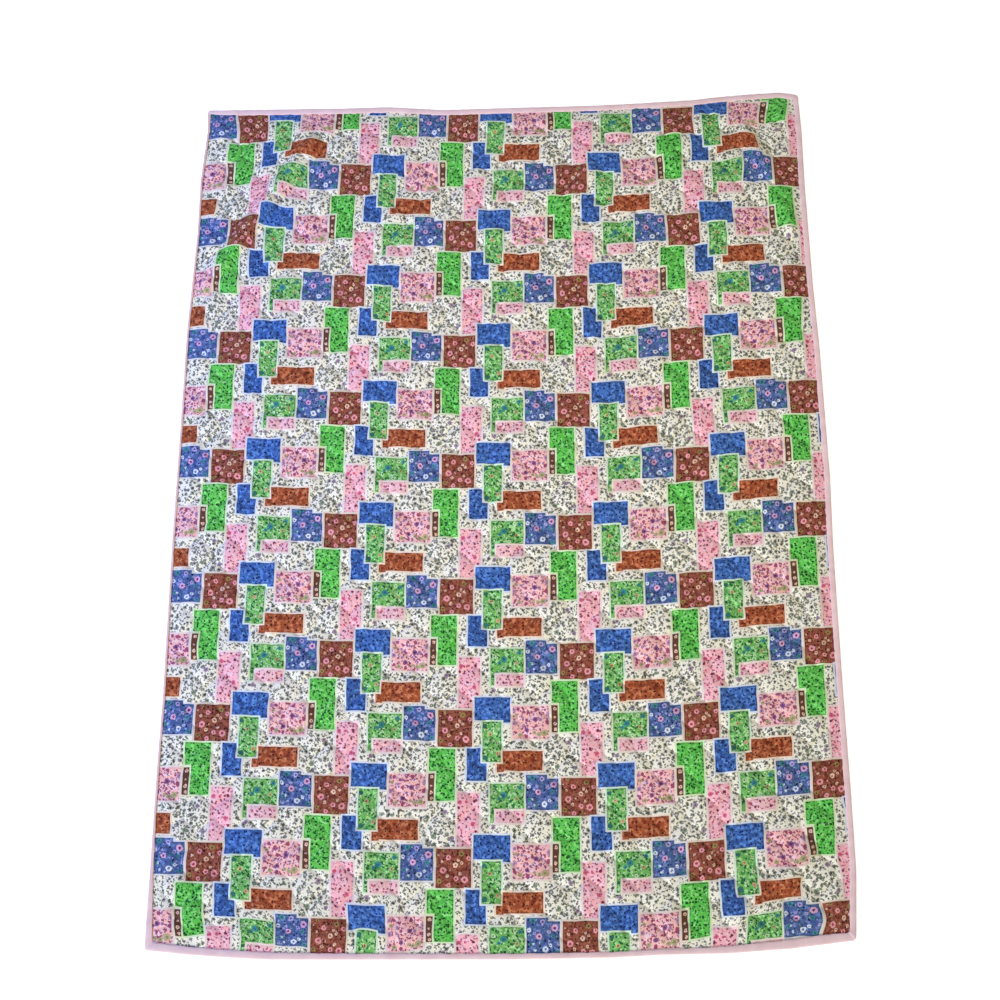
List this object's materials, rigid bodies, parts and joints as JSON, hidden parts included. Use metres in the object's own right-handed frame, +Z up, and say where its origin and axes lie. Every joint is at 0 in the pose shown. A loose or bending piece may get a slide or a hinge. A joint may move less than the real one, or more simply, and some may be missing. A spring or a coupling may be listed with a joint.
{
  "type": "patchwork quilt, laid flat",
  "caption": "Rectangular wadded quilt laid flat, printed all over as patchwork, quilted in an ogee pattern and edged with a folded pink binding, for covering a lap, cot or sofa.",
  "frame": {"origin": "under the middle of the quilt, on the surface that it lies on", "axes": "+X along a short side, +Y along a long side, +Z up from the surface"},
  "size_m": [1.1369, 1.5414, 0.0167],
  "materials": {
    "printed_cotton": "matt plain-weave cotton with a patchwork print, wadded and quilted",
    "pink_cotton": "matt plain-weave cotton"
  },
  "bodies": {
    "root": {"quilt_body": "printed_cotton", "edge_binding": "pink_cotton"}
  },
  "joints": []
}
